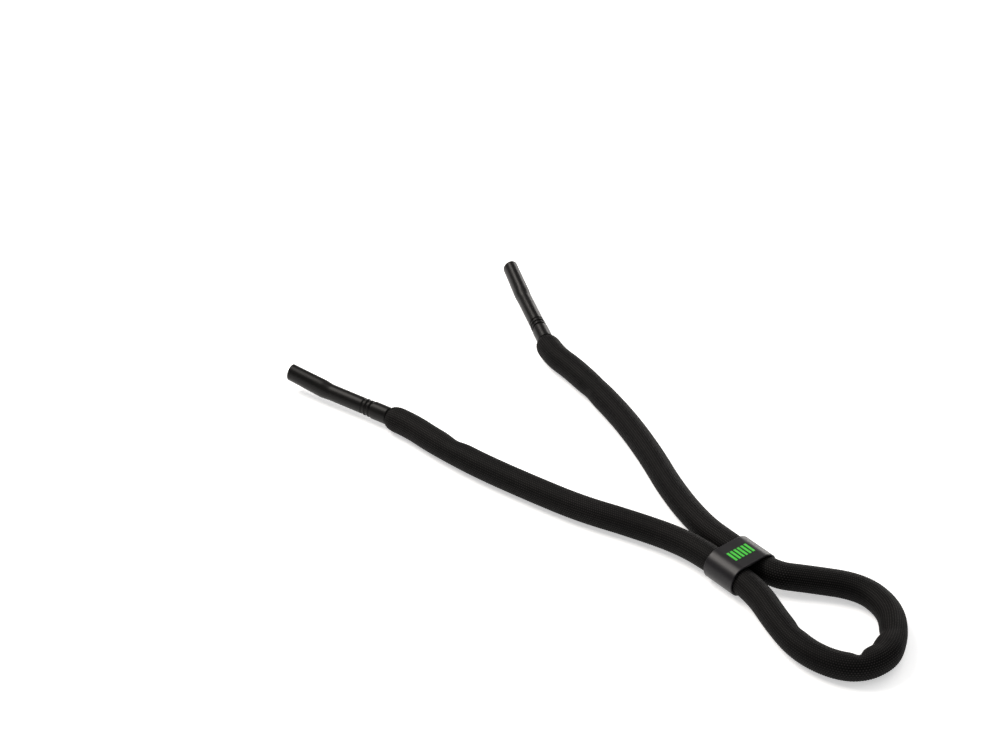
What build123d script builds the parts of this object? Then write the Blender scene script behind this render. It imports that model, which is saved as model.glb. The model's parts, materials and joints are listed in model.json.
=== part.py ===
"""Floating eyewear retainer strap.

A braided tube over a round foam core runs from one temple sleeve, through a flat oval slider, round in a loop,
back through the slider and out to the other temple sleeve. The strap lies on a flat surface, z = 0.
The origin is under the middle of the slider, +Y points forward along the slider to the temple sleeves, and +X is
the wearer's right.
"""

import math
import os

from build123d import *

# Strap: braided cover over a foam core
braid_d = 10.0
braid_wall = 0.8
core_gap = 0.05
end_length = 4.6
end_drop = 1.5
end_wall = 0.8
core_setback = 6.8

# Slider: a flat oval ring round the two strands
slider_length = 14.0
slider_wall = 0.9
strand_gap = 0.1
slot_clearance = 0.1
slider_rim = 0.3

# Printed mark on the slider: a row of plain bars
mark_bars = 6
mark_pitch = 1.65
mark_bar_width = 0.95
mark_bar_length = 5.0
mark_thickness = 0.08

# End plug: a ball held in the gathered end, a neck, and a barbed shank in the sleeve
ball_r = 1.9
ball_depth = 4.2
neck_r = 1.0
shank_r = 1.7
shank_length = 9.5
barb_count = 3
barb_height = 0.4
barb_pitch = 2.4
neck_clearance = 0.05
mouth_clearance = 0.5

# End binding: turns of thread round the neck, inside the gathered end
thread_r = 0.3
thread_turns = 3
thread_pitch = 0.45

# Temple sleeve: soft tube, taller than it is wide, with a raised nose part that takes the temple tip
sleeve_gap = 0.4
barrel_length = 7.2
barrel_half = (3.15, 3.6)
groove_count = 3
groove_width = 0.9
groove_half = (2.55, 2.85)
rib_half = (3.0, 3.4)
middle_length = 17.4
middle_half = (2.95, 3.25)
step_length = 4.0
nose_length = 17.5
nose_rise = 5.5
nose_root_half = (3.1, 3.75)
nose_mouth_half = (2.8, 3.35)
socket_r = 2.0
plug_bore_r = 1.75
plug_bore_spare = 0.6
sleeve_rim = 0.45

# Where each sleeve points: degrees from +Y towards +X, and degrees up from level
left_heading = -16.5
left_lift = 1.0
right_heading = 22.0
right_lift = 6.0

# Sizes that follow
braid_r = braid_d / 2
cavity_r = braid_r - braid_wall
core_r = cavity_r - core_gap
strand_x = (braid_d + strand_gap) / 2
slot_half_height = braid_r + slot_clearance
slot_half_width = strand_x + slot_half_height
slider_half_height = slot_half_height + slider_wall
slider_half_width = slot_half_width + slider_wall
strand_z = slider_half_height
groove_zone = (2 * groove_count - 1) * groove_width
middle_start = sleeve_gap + barrel_length + groove_zone
nose_start = middle_start + middle_length

# The strap's route, from the left end's mouth through the slider, round the loop and back to the right end's mouth.
# z is braid_r where the strap lies on the surface, and strand_z inside the slider.
lie = braid_r
easing = lie + 0.3
strand_end = slider_length / 2 + 5
route = [
    (-38.8, 150.8, lie),
    (-36.3, 141.6, lie),
    (-35.6, 127.0, lie),
    (-32.4, 106.0, lie),
    (-26.5, 82.0, lie),
    (-20.8, 62.0, lie),
    (-12.0, 42.0, lie),
    (-6.2, 25.0, easing),
    (-strand_x, strand_end, strand_z),
    (-strand_x, -strand_end - 1.0, strand_z),
    (-11.0, -30.0, easing),
    (-14.4, -44.5, lie),
    (-12.0, -57.5, lie),
    (-5.8, -65.2, lie),
    (4.8, -66.3, lie),
    (15.2, -60.3, lie),
    (24.2, -49.5, lie),
    (25.3, -34.5, lie),
    (13.4, -19.4, easing),
    (strand_x, 1.2 - strand_end, strand_z),
    (strand_x, strand_end + 1.0, strand_z),
    (6.0, 26.0, easing),
    (12.0, 48.0, lie),
    (20.5, 68.5, lie),
    (27.8, 90.0, lie),
    (32.8, 112.0, lie),
    (35.9, 132.0, lie),
    (36.0, 142.6, lie),
    (39.4, 151.8, lie),
]


def bend_radii(points):
    """The radius at each inner point: 0.45 of its shorter run, divided by the tangent of half the turn."""
    radii = []
    for before, here, after in zip(points, points[1:], points[2:]):
        run_in = Vector(*here) - Vector(*before)
        run_out = Vector(*after) - Vector(*here)
        half_turn = math.radians(run_in.get_angle(run_out)) / 2
        radii.append(0.45 * min(run_in.length, run_out.length) / math.tan(half_turn))
    return radii


def end_planes():
    """A plane at each end's mouth, whose z points into the strap."""
    planes = []
    for mouth, inner in ((route[0], route[1]), (route[-1], route[-2])):
        inward = (Vector(*inner) - Vector(*mouth)).normalized()
        planes.append(Plane(origin=mouth, x_dir=(0, 0, 1), z_dir=inward))
    return planes


radii = bend_radii(route)
path = FilletPolyline(*route, radius=radii)
mouths = end_planes()
print("strap length along its centre line: %.1f mm" % path.length)
print("bend radii:", ", ".join("%.0f" % r for r in radii))


def domed_tube(radius, start):
    """A rod of that radius along the whole route, whose ends are flat at start and rounded over end_length."""
    rod = sweep(Plane(origin=path @ 0, z_dir=path % 0) * Circle(radius), path=path)
    length = end_length - start
    outside = radius + braid_r
    arc = EllipticalCenterArc((radius - end_drop, end_length), end_drop, length, start_angle=-90, arc_size=90)
    outline = arc + Polyline(
        arc @ 1,
        (outside, end_length),
        (outside, -braid_r),
        (0, -braid_r),
        (0, start),
        arc @ 0,
    )
    waste = revolve(Plane.XZ * make_face(outline), axis=Axis.Z)
    for mouth in mouths:
        rod -= mouth * waste
    return rod


def make_cover():
    """The braided tube, gathered at both ends round a hole for the plug's neck."""
    cover = domed_tube(braid_r, 0) - domed_tube(cavity_r, end_wall)
    hole = extrude(Circle(neck_r + mouth_clearance), amount=2 * end_wall, both=True)
    for mouth in mouths:
        cover -= mouth * hole
    return cover


def make_core():
    """The foam rod, cut square at both ends to leave room for the plug's ball."""
    core = sweep(Plane(origin=path @ 0, z_dir=path % 0) * Circle(core_r), path=path)
    cut = extrude(Circle(braid_r), amount=core_setback, both=True)
    for mouth in mouths:
        core -= mouth * cut
    return core


def make_slider():
    """The ring: a flat oval tube open at both ends, with rounded rims."""
    outer = SlotOverall(2 * slider_half_width, 2 * slider_half_height)
    inner = SlotOverall(2 * slot_half_width, 2 * slot_half_height)
    ring = extrude(Plane.XZ * (outer - inner), amount=slider_length / 2, both=True)
    rims = ring.edges().filter_by_position(Axis.Y, -slider_length / 2, -slider_length / 2)
    rims += ring.edges().filter_by_position(Axis.Y, slider_length / 2, slider_length / 2)
    ring = fillet(rims, slider_rim)
    return Pos(0, 0, strand_z) * ring


def make_mark():
    """Plain bars printed in a row across the flat top of the slider."""
    top = strand_z + slider_half_height
    bars = []
    for i in range(mark_bars):
        x = (i - (mark_bars - 1) / 2) * mark_pitch
        bar = extrude(Pos(x, 0, top) * Rectangle(mark_bar_width, mark_bar_length), amount=mark_thickness)
        bars.append(bar.solid())
    return Compound(bars)


def across(x):
    """A plane square to the sleeve's axis at x, whose own x runs across the sleeve."""
    return Plane(origin=(x, 0, 0), x_dir=(0, 1, 0), z_dir=(1, 0, 0))


def oval(half, x):
    """An ellipse of those half sizes (across, up), square to the sleeve's axis at x."""
    return across(x) * Ellipse(*half)


def oval_rod(half, start, length, rim):
    """A straight stretch of the sleeve's outside, rounded at both ends."""
    rod = extrude(oval(half, start), amount=length)
    return fillet(rod.edges().group_by(Axis.X)[0] + rod.edges().group_by(Axis.X)[-1], rim)


def make_sleeve():
    """The temple sleeve in its own frame: x runs out of the strap's mouth and z is up."""
    sleeve = oval_rod(barrel_half, sleeve_gap, barrel_length, sleeve_rim)
    neck_start = sleeve_gap + barrel_length - groove_width
    sleeve += extrude(oval(groove_half, neck_start), amount=groove_zone + 2 * groove_width)
    for i in range(1, 2 * groove_count - 1, 2):
        start = sleeve_gap + barrel_length + i * groove_width
        sleeve += oval_rod(rib_half, start, groove_width, groove_width / 4)
    sleeve += oval_rod(middle_half, middle_start, middle_length, groove_width / 4)

    nose = Pos(nose_start, 0, 0) * Rot(0, -nose_rise, 0)
    root = nose * oval(nose_root_half, step_length / 2)
    mouth = nose * oval(nose_mouth_half, nose_length)
    sleeve += loft([oval(middle_half, nose_start - step_length / 2), root])
    nose_rod = loft([root, mouth])
    sleeve += fillet(nose_rod.edges().group_by(Axis.X)[-1], sleeve_rim)

    sleeve -= extrude(across(0) * Circle(plug_bore_r), amount=sleeve_gap + shank_length + plug_bore_spare)
    sleeve -= nose * extrude(across(0) * Circle(socket_r), amount=nose_length + barrel_length)
    return sleeve


def make_plug():
    """The end plug in the sleeve's frame: a ball inside the strap, a neck, and a barbed shank."""
    plug = Pos(-ball_depth, 0, 0) * Sphere(ball_r)
    plug += extrude(across(-ball_depth) * Circle(neck_r), amount=ball_depth + sleeve_gap + neck_r)
    plug += extrude(across(sleeve_gap) * Circle(shank_r), amount=shank_length)
    for i in range(barb_count):
        base = sleeve_gap + shank_length - (i + 1) * barb_pitch
        barb = Cone(shank_r + barb_height, shank_r, barb_pitch, align=(Align.CENTER, Align.CENTER, Align.MIN))
        plug += across(base) * barb
    return plug


def make_binding():
    """The whipping in the sleeve's frame: turns of thread that close the braid behind the ball."""
    first = end_wall + mouth_clearance / 2 + thread_r
    turn = Torus(neck_r + neck_clearance + thread_r, thread_r)
    binding = across(-first) * turn
    for i in range(1, thread_turns):
        binding += across(-first - i * thread_pitch) * turn
    return binding


def end_place(mouth, heading, lift):
    """Puts a piece from the sleeve's frame at a mouth, turned about the ball's centre."""
    ball = mouth.origin + mouth.z_dir * ball_depth
    return Pos(*ball) * Rot(0, 0, 90 - heading) * Rot(0, -lift, 0) * Pos(ball_depth, 0, 0)


os.makedirs("parts", exist_ok=True)
export_step(make_cover(), "parts/braided_cover.step")
export_step(make_core(), "parts/foam_core.step")
export_step(make_slider(), "parts/slider.step")
export_step(make_mark(), "parts/slider_mark.step")
for side, mouth, heading, lift in (
    ("left", mouths[0], left_heading, left_lift),
    ("right", mouths[1], right_heading, right_lift),
):
    place = end_place(mouth, heading, lift)
    export_step(place * make_sleeve(), f"parts/{side}_temple_sleeve.step")
    export_step(place * make_plug(), f"parts/{side}_end_plug.step")
    export_step(place * make_binding(), f"parts/{side}_end_binding.step")
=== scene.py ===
"""Floating eyewear retainer strap: the looks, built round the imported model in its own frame, in metres.

The pieces follow the object as it is put together: the knitted cover and its foam on one route, the gathered ends
with their thread and plugs, the temple sleeves, then the slider and its printed mark. The floor and lights are last.
"""

import json
import math

import bpy
import numpy as np
from mathutils import Matrix, Vector


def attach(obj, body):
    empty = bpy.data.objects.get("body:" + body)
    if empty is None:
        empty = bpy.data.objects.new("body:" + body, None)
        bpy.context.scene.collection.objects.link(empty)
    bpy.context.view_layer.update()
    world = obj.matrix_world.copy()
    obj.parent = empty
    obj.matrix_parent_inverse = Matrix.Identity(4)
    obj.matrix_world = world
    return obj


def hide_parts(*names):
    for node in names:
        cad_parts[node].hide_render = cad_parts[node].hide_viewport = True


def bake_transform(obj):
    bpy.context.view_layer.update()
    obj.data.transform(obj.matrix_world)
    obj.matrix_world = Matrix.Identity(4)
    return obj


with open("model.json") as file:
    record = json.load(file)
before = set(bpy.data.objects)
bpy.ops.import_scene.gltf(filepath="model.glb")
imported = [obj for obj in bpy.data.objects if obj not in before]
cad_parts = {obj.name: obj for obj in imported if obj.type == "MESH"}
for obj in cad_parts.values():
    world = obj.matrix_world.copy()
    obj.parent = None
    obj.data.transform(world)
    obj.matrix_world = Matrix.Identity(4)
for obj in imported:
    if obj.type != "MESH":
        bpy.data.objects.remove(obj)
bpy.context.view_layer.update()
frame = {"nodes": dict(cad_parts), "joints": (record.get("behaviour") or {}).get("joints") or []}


# ---- Camera ----
# A long lens a metre away, level with the horizon, that looks down along the strap from beyond the loop on the
# wearer's left. It takes in the whole strap, with room on the left for the glasses that would be on it.
camera_azimuth = math.radians(-39.5)
camera_elevation = math.radians(34.5)
camera_distance = 1.0542
camera_target = Vector((0.0111, 0.14584, 0.005))
camera_back = Vector((
    math.sin(camera_azimuth) * math.cos(camera_elevation),
    -math.cos(camera_azimuth) * math.cos(camera_elevation),
    math.sin(camera_elevation),
))
camera_data = bpy.data.cameras.new("camera")
camera_data.sensor_width = 36.0
camera_data.lens = 97.95
camera = bpy.data.objects.new("camera", camera_data)
camera.location = camera_target + camera_back * camera_distance
camera.rotation_euler = (-camera_back).to_track_quat("-Z", "Y").to_euler()
bpy.context.scene.collection.objects.link(camera)
bpy.context.scene.camera = camera


# ---- Route of the strap ----
# The strap is one length of tube. Its line runs from the left end's mouth through the slider, round the loop, back
# through the slider and out to the right end's mouth, and it lies on the surface all the way but in the slider.
braid_r = 0.005
lie = braid_r
easing = 0.0053
strand_x = 0.00505
strand_z = 0.006
route = [
    (-0.0388, 0.1508, lie),
    (-0.0363, 0.1416, lie),
    (-0.0356, 0.1270, lie),
    (-0.0324, 0.1060, lie),
    (-0.0265, 0.0820, lie),
    (-0.0208, 0.0620, lie),
    (-0.0120, 0.0420, lie),
    (-0.0062, 0.0250, easing),
    (-strand_x, 0.0120, strand_z),
    (-strand_x, -0.0130, strand_z),
    (-0.0110, -0.0300, easing),
    (-0.0144, -0.0445, lie),
    (-0.0120, -0.0575, lie),
    (-0.0058, -0.0652, lie),
    (0.0048, -0.0663, lie),
    (0.0152, -0.0603, lie),
    (0.0242, -0.0495, lie),
    (0.0253, -0.0345, lie),
    (0.0134, -0.0194, easing),
    (strand_x, -0.0108, strand_z),
    (strand_x, 0.0130, strand_z),
    (0.0060, 0.0260, easing),
    (0.0120, 0.0480, lie),
    (0.0205, 0.0685, lie),
    (0.0278, 0.0900, lie),
    (0.0328, 0.1120, lie),
    (0.0359, 0.1320, lie),
    (0.0360, 0.1426, lie),
    (0.0394, 0.1518, lie),
]


def points_on_route(points):
    """The points along the smooth line that has the route's points as its control points."""
    curve = bpy.data.curves.new("strap_route", "CURVE")
    curve.dimensions = "3D"
    curve.resolution_u = 40
    line = curve.splines.new("NURBS")
    line.points.add(len(points) - 1)
    for knot, point in zip(line.points, points):
        knot.co = (*point, 1.0)
    line.order_u = 3
    line.use_endpoint_u = True
    holder = bpy.data.objects.new("strap_route", curve)
    read = bpy.data.meshes.new_from_object(holder)
    found = np.array([v.co[:] for v in read.vertices])
    bpy.data.meshes.remove(read)
    bpy.data.objects.remove(holder)
    bpy.data.curves.remove(curve)
    return found


line_points = points_on_route(route)
line_steps = np.linalg.norm(np.diff(line_points, axis=0), axis=1)
line_at = np.concatenate([[0.0], np.cumsum(line_steps)])
line_tangents = np.gradient(line_points, line_at, axis=0)
strap_length = float(line_at[-1])


def along(at):
    """The line's place at those distances from the left mouth, with its outer side, upper side and run."""
    at = np.atleast_1d(at)
    place = np.stack([np.interp(at, line_at, line_points[:, k]) for k in range(3)], axis=1)
    run = np.stack([np.interp(at, line_at, line_tangents[:, k]) for k in range(3)], axis=1)
    run /= np.linalg.norm(run, axis=1, keepdims=True)
    out = np.cross(run, (0.0, 0.0, 1.0))
    out /= np.linalg.norm(out, axis=1, keepdims=True)
    return place, out, np.cross(out, run), run


def crossing(low, high):
    """The distance at which the line passes the slider's middle, between two distances."""
    at = np.linspace(low, high, 2000)
    return float(at[np.argmin(np.abs(along(at)[0][:, 1]))])


half_strap = strap_length / 2
leg_at_least = 0.1
in_slider = (crossing(leg_at_least, half_strap), crossing(half_strap, strap_length - leg_at_least))


# ---- Shape of the strap ----
# A soft foam-filled tube is never quite even: it is a little lumpy all along, dented where a thumb has pressed it,
# and pinched on the inside of the tight bend, where the foam folds and the cover bulges beside the fold.
lump_share = 0.012
lump_pitch, lump_wander, lump_twist = 0.0071, 0.019, 0.013
marks_on_strap = [
    # distance along, round from the outer side in degrees, depth (a bulge is negative), half length, half angle
    (0.0325, 140, 0.00070, 0.0030, 60),
    (0.0363, 140, -0.00010, 0.0030, 60),
    (0.1945, 170, 0.00050, 0.0020, 50),
    (0.2235, 175, 0.00150, 0.0016, 50),
    (0.2296, 178, -0.00085, 0.0026, 55),
    (0.2378, 178, -0.00070, 0.0034, 55),
    (0.2444, 178, 0.00075, 0.0018, 55),
    (0.2356, 0, -0.00030, 0.0030, 60),
    (0.4348, 150, 0.00070, 0.0030, 60),
]


def dented(at, angle):
    """How far the cover stands out from its line there, before the knit, at those distances and angles."""
    radius = np.full(np.broadcast(at, angle).shape, braid_r)
    lumps = np.sin(at / lump_pitch + 2.0 * np.sin(at / lump_wander)) * np.cos(angle + at / lump_twist)
    radius *= 1.0 - lump_share * (0.6 + 0.4 * lumps)
    for place, side, depth, reach, spread in marks_on_strap:
        turn = np.angle(np.exp(1j * (angle - math.radians(side))))
        near = np.exp(-0.5 * ((at - place) / reach) ** 2 - 0.5 * (turn / math.radians(spread)) ** 2)
        radius -= depth * near
    return radius


# ---- Braided cover ----
# A tube knitted in fine black nylon: thirty-six wales run along it, and the courses of small stitches round it are
# half a stitch out of step in every other wale. It is in three lengths here, which meet out of sight in the slider.
wales = 36
steps_in_wale = 4
course = 0.00080
ring_step = course / 2
cover_wall = 0.0008
rings_to_inner = 12
groove_depth = 0.00018
stitch_depth = 0.00020
around = wales * steps_in_wale
round_angles = np.arange(around) * 2 * math.pi / around


def stitches(column, row):
    """How deep the knit is below its outside, at a column counted in wales and a row counted in courses."""
    in_wale = column % 1.0
    shift = 0.5 * (np.floor(column) % 2)
    crest = (0.5 - 0.5 * np.cos(2 * math.pi * in_wale)) ** 0.7
    stitch = 0.5 - 0.5 * np.cos(2 * math.pi * (row + shift))
    return groove_depth * (1 - crest) + stitch_depth * (1 - stitch) * crest


def rings_mesh(name, rings, rows=None, shut=True, creases=()):
    """A skin over rings of points. The last ring joins the first if shut, or both are capped.

    rows gives each ring's course, for the knit's own coordinates: columns in wales and rows in courses. creases are
    the rings where the skin turns sharply.
    """
    count, across = rings.shape[:2]
    last = count if shut else count - 1
    i = np.repeat(np.arange(last), across)
    j = np.tile(np.arange(across), last)
    i_next = (i + 1) % count
    j_next = (j + 1) % across
    quads = np.stack([i * across + j, i * across + j_next, i_next * across + j_next, i_next * across + j], axis=1)
    faces = quads.tolist()
    if not shut:
        faces += [list(range(across))[::-1], list(range((count - 1) * across, count * across))]
    mesh = bpy.data.meshes.new(name)
    mesh.from_pydata(rings.reshape(-1, 3).tolist(), [], faces)
    mesh.polygons.foreach_set("use_smooth", np.ones(len(faces), bool))
    ends = np.zeros(len(mesh.edges) * 2, int)
    mesh.edges.foreach_get("vertices", ends)
    on_ring = ends.reshape(-1, 2) // across
    sharp = (on_ring[:, 0] == on_ring[:, 1]) & np.isin(on_ring[:, 0], [crease % count for crease in creases])
    mesh.attributes.new("sharp_edge", "BOOLEAN", "EDGE").data.foreach_set("value", sharp)
    if rows is not None:
        left, right = j / steps_in_wale, (j + 1) / steps_in_wale
        low, high = rows[i], rows[i_next]
        corners = np.stack([left, low, right, low, right, high, left, high], axis=1)
        mesh.uv_layers.new(name="knit").data.foreach_set("uv", corners.reshape(-1))
    mesh.update()
    piece = bpy.data.objects.new(name, mesh)
    bpy.context.scene.collection.objects.link(piece)
    return piece


def tube(name, at, nominal, inset, knit, rows, creases):
    """A skin round the line: each ring has a distance along, a nominal radius, an inset and a share of knit."""
    place, out, up, _ = along(at)
    angle = round_angles[None, :]
    column = np.arange(around)[None, :] / steps_in_wale
    radius = dented(at[:, None], angle) * (nominal / braid_r)[:, None] - inset[:, None]
    radius -= knit[:, None] * stitches(column, rows[:, None])
    offset = out[:, None, :] * np.cos(angle)[..., None] + up[:, None, :] * np.sin(angle)[..., None]
    rings = place[:, None, :] + offset * radius[..., None]
    rings[..., 2] = np.maximum(rings[..., 2], 0.0)
    return rings_mesh(name, rings, rows, creases=creases)


def cover_length(name, start, end, first_row):
    """A length of the cover, with its inside wall, from one distance to another, which may be the lesser."""
    count = int(round(abs(end - start) / ring_step))
    outer = np.linspace(start, end, count + 1)
    inner = np.linspace(end, start, count // rings_to_inner)
    at = np.concatenate([outer, inner])
    inset = np.concatenate([np.zeros(len(outer)), np.full(len(inner), cover_wall)])
    knit = (inset == 0).astype(float)
    rows = first_row + np.concatenate([np.arange(len(outer)), np.zeros(len(inner))]) * ring_step / course
    creases = (0, len(outer) - 1, len(outer), len(at) - 1)
    if end < start:
        at, inset, knit, rows = (values[::-1] for values in (at, inset, knit, rows))
        creases = [len(at) - 1 - crease for crease in creases]
    return tube(name, at, np.full(len(at), braid_r), inset, knit, rows, creases)


class Wire:
    """One socket's value in a material: an expression on wires and numbers adds its Math nodes."""

    def __init__(self, finish, socket):
        self.finish = finish
        self.socket = socket

    def math(self, operation, *values):
        return self.finish.node("ShaderNodeMath", {"operation": operation}, dict(enumerate(values)))

    def __add__(self, other):
        return self.math("ADD", self, other)

    def __sub__(self, other):
        return self.math("SUBTRACT", self, other)

    def __rsub__(self, other):
        return self.math("SUBTRACT", other, self)

    def __mul__(self, other):
        return self.math("MULTIPLY", self, other)

    __radd__ = __add__
    __rmul__ = __mul__


class Finish:
    """A material for one of the strap's finishes, mixed from nodes round one Principled shader."""

    def __init__(self, name, **plain):
        self.material = bpy.data.materials.new(name)
        self.material.use_nodes = True
        self.nodes = self.material.node_tree.nodes
        self.links = self.material.node_tree.links
        self.shader = self.nodes["Principled BSDF"]
        for socket, value in plain.items():
            self.shader.inputs[socket.replace("_", " ").title().replace("Ior", "IOR")].default_value = value

    def node(self, kind, settings=None, sockets=None, out=0):
        """Any node: its settings first, then the values or links of its sockets, and one output comes back."""
        made = self.nodes.new(kind)
        for key, value in (settings or {}).items():
            if key == "stops":
                self.stops(made.color_ramp, value)
            else:
                setattr(made, key, value)
        for key, value in (sockets or {}).items():
            if isinstance(value, Wire):
                self.links.new(value.socket, made.inputs[key])
            else:
                made.inputs[key].default_value = value
        return Wire(self, made.outputs[out])

    @staticmethod
    def stops(ramp, values):
        while len(ramp.elements) < len(values):
            ramp.elements.new(0.5)
        for element, (place, colour) in zip(ramp.elements, values):
            element.position = place
            element.color = (*colour, 1.0)

    def colours(self, value, *stops):
        return self.node("ShaderNodeValToRGB", {"stops": stops}, {0: value})

    def noise(self, coordinates, scale, detail=3.0):
        return self.node("ShaderNodeTexNoise", {}, {"Vector": coordinates, "Scale": scale, "Detail": detail})

    def bump(self, height, strength, distance):
        made = self.node("ShaderNodeBump", {}, {"Height": height, "Strength": strength, "Distance": distance})
        self.feed("Normal", made)

    def feed(self, socket, wire):
        self.links.new(wire.socket, self.shader.inputs[socket])


def object_place(finish):
    """The point's own place in the frame, for grain that doesn't depend on how a piece was made."""
    return finish.node("ShaderNodeTexCoord", out="Object")


def braid_finish():
    """Black nylon knit with fine filaments: painted shade between the stitches, a painted sheen on their crests, and
    random patches and dust.
    """
    finish = Finish("black_knit", specular_ior_level=0.08)
    knit = finish.node("ShaderNodeUVMap", {"uv_map": "knit"})
    column = finish.node("ShaderNodeSeparateXYZ", {}, {0: knit}, out="X")
    row = finish.node("ShaderNodeSeparateXYZ", {}, {0: knit}, out="Y")
    in_wale = column.math("FRACT", column)
    odd = column.math("MODULO", column.math("FLOOR", column), 2.0)
    crest = in_wale.math("SINE", in_wale * math.pi)
    in_stitch = row.math("FRACT", row + odd * 0.5)
    stitch = in_stitch.math("SINE", in_stitch * math.pi)
    lit = crest * stitch
    place = object_place(finish)
    patches = finish.noise(place, 45.0)
    dust = finish.noise(place, 900.0, 4.0)
    # The colour paints light into the knit: near black in the grooves between the stitches is painted shade, and the
    # greyer stitch crests (lit) are a painted sheen. The patches and dust are random tone.
    tone = lit * 0.55 + patches * 0.3 + dust * 0.25
    finish.feed("Base Color", finish.colours(
        tone,
        (0.24, (0.0004, 0.0004, 0.0004)),
        (0.56, (0.0016, 0.0015, 0.0015)),
        (0.90, (0.0250, 0.0228, 0.0220)),
    ))
    finish.feed("Roughness", 0.66 - lit * 0.16 + patches * 0.08)
    slanted = finish.node("ShaderNodeMapping", {}, {
        "Vector": knit, "Scale": (7.0, 1.2, 1.0), "Rotation": (0, 0, 0.5),
    })
    filaments = finish.noise(slanted, 2.6, 2.0)
    finish.bump(filaments * 0.6 + lit * 0.6, 0.35, 0.00008)
    return finish.material


black_knit = braid_finish()
tip_steps = 11
gather_steps = 25
tip_length = tip_steps * ring_step
gather_length = gather_steps * ring_step
gather_row = gather_length / course
lengths = {
    "left_leg": (gather_length, in_slider[0], gather_row),
    "loop": (*in_slider, 0.0),
    "right_leg": (strap_length - gather_length, in_slider[1], gather_row),
}
covers = {name: cover_length(f"{name}_cover", *span) for name, span in lengths.items()}


# ---- Foam core ----
# A round rod of closed-cell foam, pushed into the cover, which keeps the strap round and lets it float. It is
# dented wherever the cover is, and stops short of the gathered ends.
foam_gap = 0.00015
foam_step = 0.0015


def foam_length(name, start, end):
    """A length of the foam rod with closed ends."""
    inside = np.linspace(min(start, end), max(start, end), int(abs(end - start) / foam_step))
    place, out, up, _ = along(inside)
    angle = round_angles[None, ::steps_in_wale]
    radius = dented(inside[:, None], angle) - cover_wall - foam_gap
    offset = out[:, None, :] * np.cos(angle)[..., None] + up[:, None, :] * np.sin(angle)[..., None]
    rings = place[:, None, :] + offset * radius[..., None]
    return rings_mesh(name, rings, shut=False, creases=(0, -1))


def foam_finish():
    """Charcoal foam with small closed cells."""
    finish = Finish("charcoal_foam", roughness=0.85, specular_ior_level=0.2)
    place = object_place(finish)
    cells = finish.node("ShaderNodeTexVoronoi", {}, {"Vector": place, "Scale": 1600.0})
    tone = cells + finish.noise(place, 300.0) * 0.3
    finish.feed("Base Color", finish.colours(tone, (0.1, (0.012, 0.012, 0.013)), (0.9, (0.060, 0.058, 0.057))))
    finish.bump(cells, 0.4, 0.0002)
    return finish.material


charcoal_foam = foam_finish()
foams = {name: foam_length(f"{name}_foam", *span[:2]) for name, span in lengths.items()}

still_length = 0.02
for slot, pieces, material, node in (
    ("braid", covers, black_knit, "braided_cover"),
    ("foam", foams, charcoal_foam, "foam_core"),
):
    for name, piece in pieces.items():
        piece.data.materials.append(material)
        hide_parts(node)
        if name.startswith("loop"):
            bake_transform(piece)
        else:
            side = -1 if name.startswith("left") else 1
            far = along(still_length if side < 0 else strap_length - still_length)[0][0]
            side * strand_x
            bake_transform(piece)


# ---- Gathered ends ----
# At each end the cover is drawn in over the plug's ball and closed round its neck by turns of waxed thread. The knit
# puckers towards the mouth. It is made in two short stretches.
mouth_r = 0.0035
dome_length = 0.0046
hole_r = 0.00148
hole_depth = 0.0009
mouth_wall = 0.0016
fold_knit = 0.3
blend_lead = 0.0005


def dome(depth):
    """The gathered end's radius at a depth behind its mouth."""
    rise = np.clip(1 - depth / dome_length, 0, 1)
    return mouth_r + (braid_r - mouth_r) * np.sqrt(np.clip(1 - rise**2, 0, 1))


def gather(name, side, depths, radii, insets, knits):
    """Rings of the gathered end at those depths behind the mouth, which is the line's start or its far end."""
    turn = int(np.flatnonzero(np.diff(insets))[0])
    creases = [turn, turn + 1, len(depths) - 1]
    if depths[0] > hole_depth:
        creases.append(0)
    at = depths if side < 0 else strap_length - depths
    rows = depths / course
    if side > 0:
        at, radii, insets, knits, rows = (values[::-1] for values in (at, radii, insets, knits, rows))
        creases = [len(at) - 1 - crease for crease in creases]
    return tube(name, at, radii, insets, knits, rows, creases)


fold_depths = np.array([hole_depth, 0.0004, 0.0001, 0.0])
fold_radii = np.array([hole_r, hole_r + 0.0001, 0.0020, 0.0027])
tip_dome = np.concatenate([[0.0, 0.00004, 0.00014], np.arange(1, tip_steps + 1) * ring_step])
tip_inside = np.linspace(tip_length, mouth_wall, 5)
tip_depths = np.concatenate([fold_depths, tip_dome, tip_inside])
tip_radii = np.concatenate([fold_radii, dome(tip_dome), dome(tip_inside)])
tip_insets = np.concatenate([np.zeros(len(fold_depths) + len(tip_dome)), np.full(len(tip_inside), cover_wall)])
tip_knits = np.concatenate([
    np.full(len(fold_depths), fold_knit), np.ones(len(tip_dome)), np.zeros(len(tip_inside)),
])
shoulder = np.arange(tip_steps, gather_steps + 1) * ring_step
shoulder_inside = shoulder[::-4]
shoulder_depths = np.concatenate([shoulder, shoulder_inside])
shoulder_radii = dome(shoulder_depths)
shoulder_insets = np.concatenate([np.zeros(len(shoulder)), np.full(len(shoulder_inside), cover_wall)])
shoulder_knits = np.concatenate([np.ones(len(shoulder)), np.zeros(len(shoulder_inside))])
ends = {"left": -1, "right": 1}
cord_samples = 200
for label, side in ends.items():
    tip = gather(f"{label}_gathered_tip", side, tip_depths, tip_radii, tip_insets, tip_knits)
    neck = gather(
        f"{label}_gathered_shoulder", side, shoulder_depths, shoulder_radii, shoulder_insets, shoulder_knits
    )
    from_mouth = [along(depth if side < 0 else strap_length - depth)[0][0]
                  for depth in (blend_lead, tip_length, gather_length)]
    for piece in (tip, neck):
        piece.data.materials.append(black_knit)
        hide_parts("braided_cover")
    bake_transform(tip)
    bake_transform(neck)


for name in ("left_leg", "right_leg", "loop"):
    start, end, _ = lengths[name]
    line = along(np.linspace(start, end, cord_samples))[0].tolist()


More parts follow.
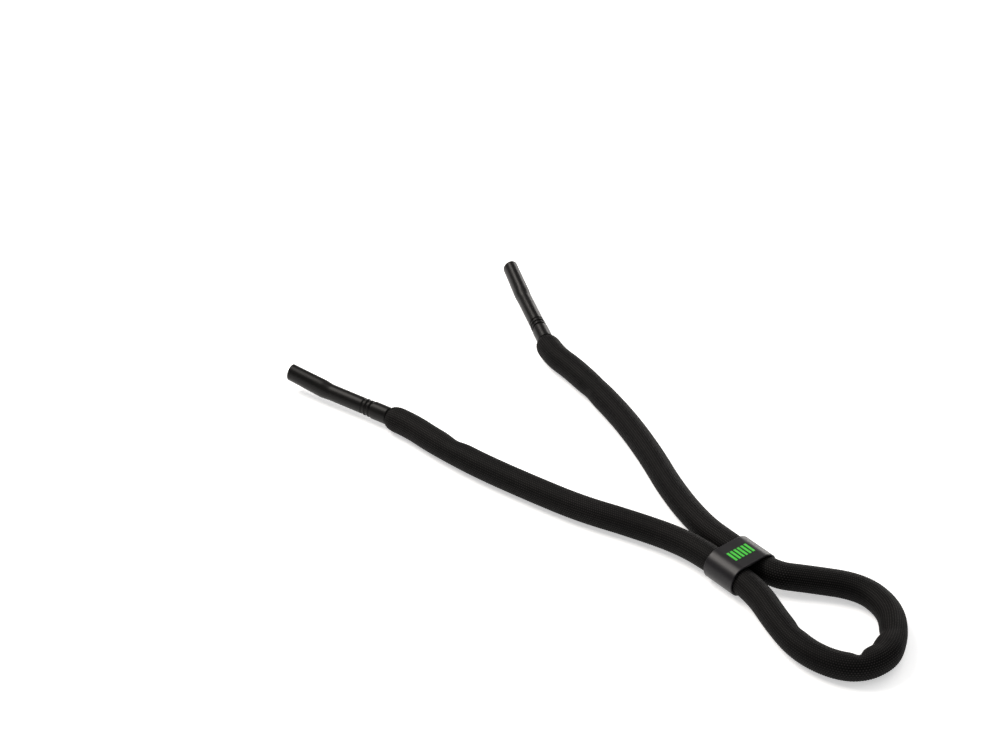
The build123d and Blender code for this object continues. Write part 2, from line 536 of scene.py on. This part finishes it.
# ---- Temple sleeves ----
# Each is moulded in soft black rubber, a little taller than it is wide. A plain barrel takes the plug, three grooves
# let it flex, and past a raised step the nose opens in a socket for the temple's tip.
sleeve_gap = 0.0004
barrel_length = 0.0072
groove_width = 0.0009
groove_count = 3
middle_length = 0.0174
nose_length = 0.0175
nose_rise = math.radians(5.5)
step_length = 0.0050
ball_depth = 0.0042
barrel_half = (0.00315, 0.00360)
groove_half = (0.00258, 0.00290)
groove_reach = 0.62
rib_reach = 0.42
rib_half = (0.00302, 0.00342)
middle_half = (0.00295, 0.00325)
root_half = (0.00312, 0.00378)
mouth_half = (0.00292, 0.00358)
barrel_past = 0.0001
barrel_edge = 0.0003
rear_rim = 0.00045
mouth_rim = 0.00008
lip = 0.0001
fine_step = 0.00008
fine_past = 0.0006
socket_r = 0.0020
plug_bore_r = 0.00175
plug_bore_depth = 0.0105
grooves_start = sleeve_gap + barrel_length
middle_start = grooves_start + (2 * groove_count - 1) * groove_width
nose_start = middle_start + middle_length
sleeve_end = nose_start + nose_length
sleeve_pointing = {"left": (-16.5, 1.0), "right": (22.0, 6.0)}


def smooth(value):
    """From 0 to 1 with soft ends."""
    value = np.clip(value, 0, 1)
    return value * value * (3 - 2 * value)


def sleeve_half(t, k):
    """The sleeve's half width (k 0) or half height (k 1) at a distance t from the strap's mouth."""
    step = smooth((t - nose_start + step_length / 2) / step_length)
    nose = root_half[k] + (mouth_half[k] - root_half[k]) * smooth((t - nose_start) / nose_length)
    body = middle_half[k] + (nose - middle_half[k]) * step
    in_barrel = smooth((grooves_start + barrel_past - t) / barrel_edge + 0.5)
    half = body + (barrel_half[k] - body) * in_barrel
    for i in range(groove_count):
        middle = grooves_start + (2 * i + 0.5) * groove_width
        near = smooth(1.25 - np.abs(t - middle) / (groove_reach * groove_width))
        half = half + (groove_half[k] - half) * near
        if i < groove_count - 1:
            rib = np.exp(-(((t - middle - groove_width) / (rib_reach * groove_width)) ** 4))
            half = half + (rib_half[k] - half) * rib
    for end, rim in ((sleeve_gap, rear_rim), (sleeve_end, mouth_rim)):
        depth = np.clip(np.abs(t - end) / rim, 0, 1)
        half = half - rim * (1 - np.sqrt(np.clip(1 - (1 - depth) ** 2, 0, 1)))
    return half


def sleeve_ring(t, half_width, half_height, count=72):
    """A ring of the sleeve in its own frame: x runs out of the strap's mouth, and the nose bends up."""
    bend_start = nose_start - step_length / 2
    bent = smooth((t - bend_start) / step_length) * nose_rise
    steps = np.linspace(bend_start, max(t, bend_start), 24)
    slope = smooth((steps - bend_start) / step_length) * nose_rise
    x = min(t, bend_start) + np.trapz(np.cos(slope), steps)
    z = np.trapz(np.sin(slope), steps)
    angle = np.arange(count) * 2 * math.pi / count
    rise = np.sin(angle) * half_height
    return np.stack([x - np.sin(bent) * rise, np.cos(angle) * half_width, z + np.cos(bent) * rise], axis=1)


def make_sleeve(name):
    """The sleeve's whole skin: the plug's blind bore, the outside, and the blind socket for the temple's tip."""
    curve = np.array([0, 0.04, 0.13, 0.29, 0.5, 0.75, 1.0])
    fine = np.arange(sleeve_gap + rear_rim, middle_start + fine_past, fine_step)
    coarse = np.linspace(middle_start + fine_past + lip, sleeve_end - mouth_rim, 90)
    rear, mouth = sleeve_gap + curve * rear_rim, sleeve_end - curve * mouth_rim
    places = np.unique(np.concatenate([rear, fine, coarse, mouth]))
    plug_bore = [(plug_bore_depth, plug_bore_r), (sleeve_gap + lip, plug_bore_r), (sleeve_gap, plug_bore_r + lip)]
    socket = [(sleeve_end, socket_r + lip), (sleeve_end - lip / 2, socket_r + lip / 3)]
    socket += [(t, socket_r) for t in np.linspace(sleeve_end - lip, nose_start + lip, 8)]
    rings = [sleeve_ring(t, radius, radius) for t, radius in plug_bore]
    rings += [sleeve_ring(t, float(sleeve_half(t, 0)), float(sleeve_half(t, 1))) for t in places]
    rings += [sleeve_ring(t, radius, radius) for t, radius in socket]
    return rings_mesh(name, np.array(rings), shut=False, creases=(0, -1))


def rubber_finish():
    """Soft black rubber with a satin skin, a faint grain and slightly polished patches."""
    finish = Finish("sleeve_rubber", specular_ior_level=0.14)
    place = object_place(finish)
    grain = finish.noise(place, 2600.0, 5.0)
    patches = finish.noise(place, 120.0, 3.0)
    finish.feed("Base Color", finish.colours(
        patches * 0.7 + grain * 0.3,
        (0.25, (0.0022, 0.0020, 0.0019)),
        (0.75, (0.0055, 0.0050, 0.0047)),
    ))
    finish.feed("Roughness", 0.28 + patches * 0.10 + grain * 0.06)
    finish.bump(grain, 0.12, 0.00006)
    return finish.material


sleeve_rubber = rubber_finish()
ball_centre = {joint["name"]: Vector(joint["pos_m"]) for joint in frame["joints"] if "pos_m" in joint}
end_place = {}
for label, (heading, lift) in sleeve_pointing.items():
    sleeve = make_sleeve(f"{label}_sleeve")
    turned = Matrix.Rotation(math.radians(90 - heading), 4, "Z") @ Matrix.Rotation(-math.radians(lift), 4, "Y")
    end_place[label] = (
        Matrix.Translation(ball_centre[f"{label}_end_lift"]) @ turned @ Matrix.Translation((ball_depth, 0, 0))
    )
    sleeve.data.transform(end_place[label])
    sleeve.data.materials.append(sleeve_rubber)
    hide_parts(f"{label}_temple_sleeve")
    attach(sleeve, f"{label}_end")


# ---- End plugs and bindings ----
# The plug is moulded in hard glossy plastic: its neck shows in the gap between the strap and the sleeve. The binding
# is three turns of waxed thread round the neck, inside the gathered end.
def plain_finish(name, dark, light, roughness, scale, height, **plain):
    """A plain moulded or spun finish with a mottle and a fine grain."""
    finish = Finish(name, **plain)
    place = object_place(finish)
    mottle = finish.noise(place, scale, 4.0)
    finish.feed("Base Color", finish.colours(mottle, (0.3, dark), (0.7, light)))
    finish.feed("Roughness", mottle * 0.12 + (roughness - 0.06))
    finish.bump(mottle, 0.15, height)
    return finish.material


plug_plastic = plain_finish("plug_plastic", (0.030, 0.030, 0.031), (0.045, 0.045, 0.046), 0.22, 700.0, 0.00003)
waxed_thread = plain_finish("waxed_thread", (0.010, 0.010, 0.010), (0.040, 0.039, 0.038), 0.55, 5200.0, 0.00010)


def dress(node, material):
    """Gives a CAD node its finish."""
    slots = frame["nodes"][node].data.materials
    slots.clear()
    slots.append(material)


thread_r = 0.00022
thread_lap = 0.00047
thread_turns = 3
tuck_angle = 0.25
binding_r = 0.00129
binding_start = 0.0011


def wound_thread(name, place):
    """Three turns of round thread on the plug's neck, with the ends tapered where they are tucked under."""
    angle = np.linspace(0, thread_turns * 2 * math.pi, thread_turns * 40 + 1)
    depth = binding_start + angle / (2 * math.pi) * thread_lap
    taper = np.sqrt(np.clip(np.minimum(angle, angle[-1] - angle) / tuck_angle, 0.02, 1))
    outward = np.stack([np.zeros_like(angle), np.cos(angle), np.sin(angle)], axis=1)
    section = np.arange(12) * 2 * math.pi / 12
    thread = thread_r * taper[:, None, None]
    rings = outward[:, None, :] * (binding_r + thread * np.cos(section)[None, :, None])
    rings[..., 0] = -depth[:, None] + thread[..., 0] * np.sin(section)[None, :]
    piece = rings_mesh(name, rings, shut=False, creases=(0, -1))
    piece.data.transform(place)
    return piece


for label in ends:
    dress(f"{label}_end_plug", plug_plastic)
    thread = wound_thread(f"{label}_thread", end_place[label])
    thread.data.materials.append(waxed_thread)
    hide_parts(f"{label}_end_binding")
    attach(thread, f"{label}_end")


# ---- Slider ----
# A flat oval ring cut from an extruded tube of black plastic, with a satin skin that is polished finer where hands
# and the strap rub it. Its mark is a row of plain green bars, pad-printed across the flat top.
def slider_finish():
    """Satin black plastic with extrusion lines along it."""
    finish = Finish("slider_plastic", specular_ior_level=0.26)
    place = object_place(finish)
    lines = finish.node("ShaderNodeMapping", {}, {"Vector": place, "Scale": (2200.0, 60.0, 2200.0)})
    streaks = finish.noise(lines, 1.0, 3.0)
    grain = finish.noise(place, 3000.0, 4.0)
    patches = finish.noise(place, 150.0, 2.0)
    finish.feed("Base Color", finish.colours(
        patches * 0.6 + grain * 0.4,
        (0.25, (0.0040, 0.0034, 0.0044)),
        (0.75, (0.0085, 0.0072, 0.0090)),
    ))
    finish.feed("Roughness", 0.30 + streaks * 0.10 + patches * 0.06)
    finish.bump(streaks * 0.7 + grain * 0.5, 0.10, 0.00004)
    return finish.material


slider_plastic = slider_finish()
mark_ink = plain_finish("mark_ink", (0.030, 0.420, 0.022), (0.060, 0.620, 0.045), 0.42, 1400.0, 0.00003)
dress("slider", slider_plastic)
dress("slider_mark", mark_ink)


# ---- Floor and lights ----
# A plain white table top, an even room, and three large soft lamps: one high over the strap, one beyond it whose
# reflection runs along the sleeves and the slider's rounded side, and one low on the right for the upper edges.
strap_middle = Vector((0.0, 0.06, 0.0))


def add_lamp(name, place, width, height, power, colour=(1.0, 1.0, 1.0)):
    """A rectangular lamp aimed at the middle of the strap."""
    data = bpy.data.lights.new(name, "AREA")
    data.shape = "RECTANGLE"
    data.size = width
    data.size_y = height
    data.energy = power
    data.color = colour
    lamp = bpy.data.objects.new(name, data)
    lamp.location = place
    lamp.rotation_euler = (strap_middle - Vector(place)).to_track_quat("-Z", "Y").to_euler()
    bpy.context.scene.collection.objects.link(lamp)


white = (1.0, 1.0, 1.0, 1.0)
add_lamp("lamp_above", (0.2, 0.0, 1.6), 1.6, 1.6, 7.0)
add_lamp("lamp_beyond", (-0.30, 0.88, 1.00), 0.85, 0.5, 17.0, (1.0, 0.95, 0.90))
add_lamp("lamp_right", (1.10, 0.50, 0.28), 0.7, 0.4, 6.0, (1.0, 0.97, 0.94))
world = bpy.data.worlds.new("room")
world.use_nodes = True
world.node_tree.nodes["Background"].inputs["Color"].default_value = white
world.node_tree.nodes["Background"].inputs["Strength"].default_value = 0.28
bpy.context.scene.world = world
bpy.context.scene.view_settings.view_transform = "Standard"

floor_half = 15.0
floor_drop = 0.00005
floor_mesh = bpy.data.meshes.new("floor")
corners = ((-1, -1), (1, -1), (1, 1), (-1, 1))
floor_mesh.from_pydata([(x * floor_half, y * floor_half, -floor_drop) for x, y in corners], [], [(0, 1, 2, 3)])
floor = bpy.data.objects.new("floor", floor_mesh)
bpy.context.scene.collection.objects.link(floor)
floor_paint = Finish("floor_paint", base_color=(0.9, 0.9, 0.9, 1.0), roughness=0.8, emission_strength=0.5)
floor_paint.shader.inputs["Emission Color"].default_value = white
floor.data.materials.append(floor_paint.material)
